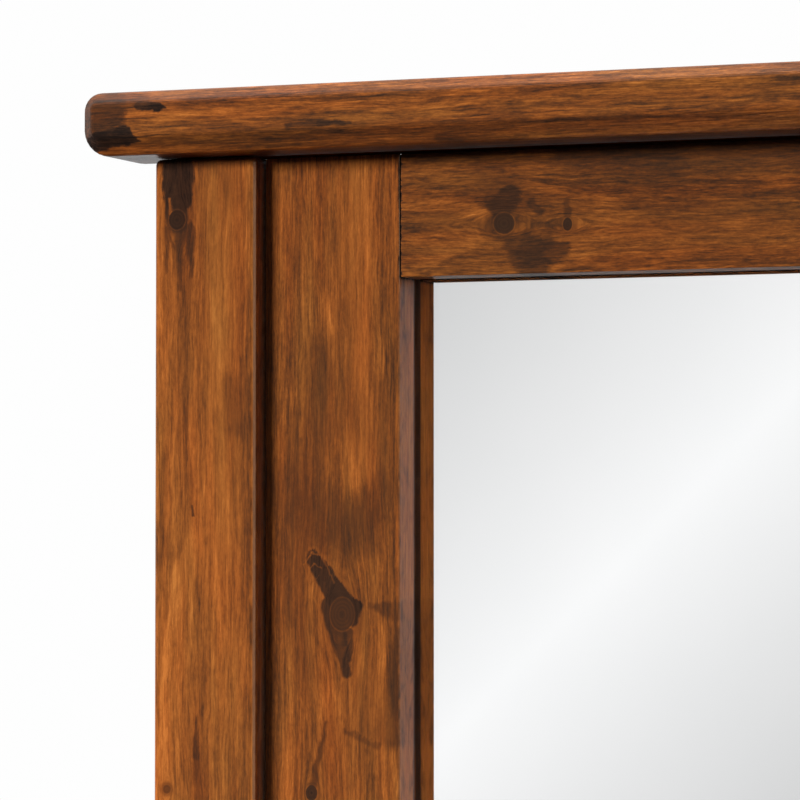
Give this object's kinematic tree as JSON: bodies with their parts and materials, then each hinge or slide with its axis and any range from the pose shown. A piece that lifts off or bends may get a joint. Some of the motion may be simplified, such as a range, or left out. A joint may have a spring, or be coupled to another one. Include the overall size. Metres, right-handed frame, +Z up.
{
  "type": "cheval floor mirror",
  "caption": "Free-standing full-length mirror in a stained pine frame that tilts between two posts under a chamfered cap rail, on arched sled feet.",
  "frame": {"origin": "on the floor, midway between the two feet, at the bottom centre of the whole object's box", "axes": "+Z up, +X to the viewer's right along the cap rail, -Y towards the viewer, the mirror's reflecting side"},
  "size_m": [0.6832, 0.46, 1.6985],
  "materials": {
    "stained_pine": "dark honey stain under a satin lacquer, knots and darker streaks",
    "plain_pine": "bare fluted dowel",
    "fibreboard": "bare brown hardboard",
    "silvered_glass": "polished float glass, silvered on its back",
    "zinc_plated_steel": "bright zinc plate",
    "brass": "satin brass",
    "black_nylon": "moulded satin",
    "felt": "pressed felt"
  },
  "bodies": {
    "stand": {"cap_rail": "stained_pine", "lower_stretcher": "stained_pine", "left_foot": "stained_pine", "left_front_foot_pad": "felt", "left_rear_foot_pad": "felt", "left_post": "stained_pine", "left_cap_dowel_a": "plain_pine", "left_cap_dowel_b": "plain_pine", "left_foot_screw": "zinc_plated_steel", "left_stretcher_bolt": "zinc_plated_steel", "left_barrel_nut": "zinc_plated_steel", "left_stretcher_dowel": "plain_pine", "left_bushing": "black_nylon", "left_friction_washer": "black_nylon", "right_foot": "stained_pine", "right_front_foot_pad": "felt", "right_rear_foot_pad": "felt", "right_post": "stained_pine", "right_cap_dowel_a": "plain_pine", "right_cap_dowel_b": "plain_pine", "right_foot_screw": "zinc_plated_steel", "right_stretcher_bolt": "zinc_plated_steel", "right_barrel_nut": "zinc_plated_steel", "right_stretcher_dowel": "plain_pine", "right_bushing": "black_nylon", "right_friction_washer": "black_nylon"},
    "mirror_frame": {"top_rail": "stained_pine", "bottom_rail": "stained_pine", "mirror_glass": "silvered_glass", "backing_board": "fibreboard", "board_screw_1": "zinc_plated_steel", "board_screw_2": "zinc_plated_steel", "board_screw_3": "zinc_plated_steel", "board_screw_4": "zinc_plated_steel", "board_screw_5": "zinc_plated_steel", "board_screw_6": "zinc_plated_steel", "board_screw_7": "zinc_plated_steel", "board_screw_8": "zinc_plated_steel", "board_screw_9": "zinc_plated_steel", "board_screw_10": "zinc_plated_steel", "left_stile": "stained_pine", "left_threaded_insert": "brass", "left_bottom_a_dowel": "plain_pine", "left_bottom_b_dowel": "plain_pine", "left_top_a_dowel": "plain_pine", "left_top_b_dowel": "plain_pine", "right_stile": "stained_pine", "right_threaded_insert": "brass", "right_bottom_a_dowel": "plain_pine", "right_bottom_b_dowel": "plain_pine", "right_top_a_dowel": "plain_pine", "right_top_b_dowel": "plain_pine"},
    "left_washer": {"left_clamp_washer": "brass"},
    "left_knob": {"left_clamp_knob": "stained_pine", "left_pivot_stud": "zinc_plated_steel"},
    "right_washer": {"right_clamp_washer": "brass"},
    "right_knob": {"right_clamp_knob": "stained_pine", "right_pivot_stud": "zinc_plated_steel"}
  },
  "joints": [
    {"name": "mirror_tilt", "type": "hinge", "parent": "stand", "child": "mirror_frame", "pos_m": [0, 0.0035, 0.954], "axis": [1, 0, 0], "continuous": true},
    {"name": "left_knob_travel", "type": "slide", "parent": "mirror_frame", "child": "left_washer", "axis": [-1, 0, 0], "range_m": [0, 0.00125]},
    {"name": "left_knob_turn", "type": "hinge", "parent": "left_washer", "child": "left_knob", "pos_m": [-0.3033, 0.0035, 0.954], "axis": [-1, 0, 0], "range_deg": [0, 360]},
    {"name": "right_knob_travel", "type": "slide", "parent": "mirror_frame", "child": "right_washer", "axis": [1, 0, 0], "range_m": [0, 0.00125]},
    {"name": "right_knob_turn", "type": "hinge", "parent": "right_washer", "child": "right_knob", "pos_m": [0.3033, 0.0035, 0.954], "axis": [1, 0, 0], "range_deg": [0, 360]}
  ],
  "couplings": [
    {"joint": "left_knob_turn", "follows": "left_knob_travel", "rad_per_m": 5026.5},
    {"joint": "right_knob_turn", "follows": "right_knob_travel", "rad_per_m": 5026.5}
  ]
}
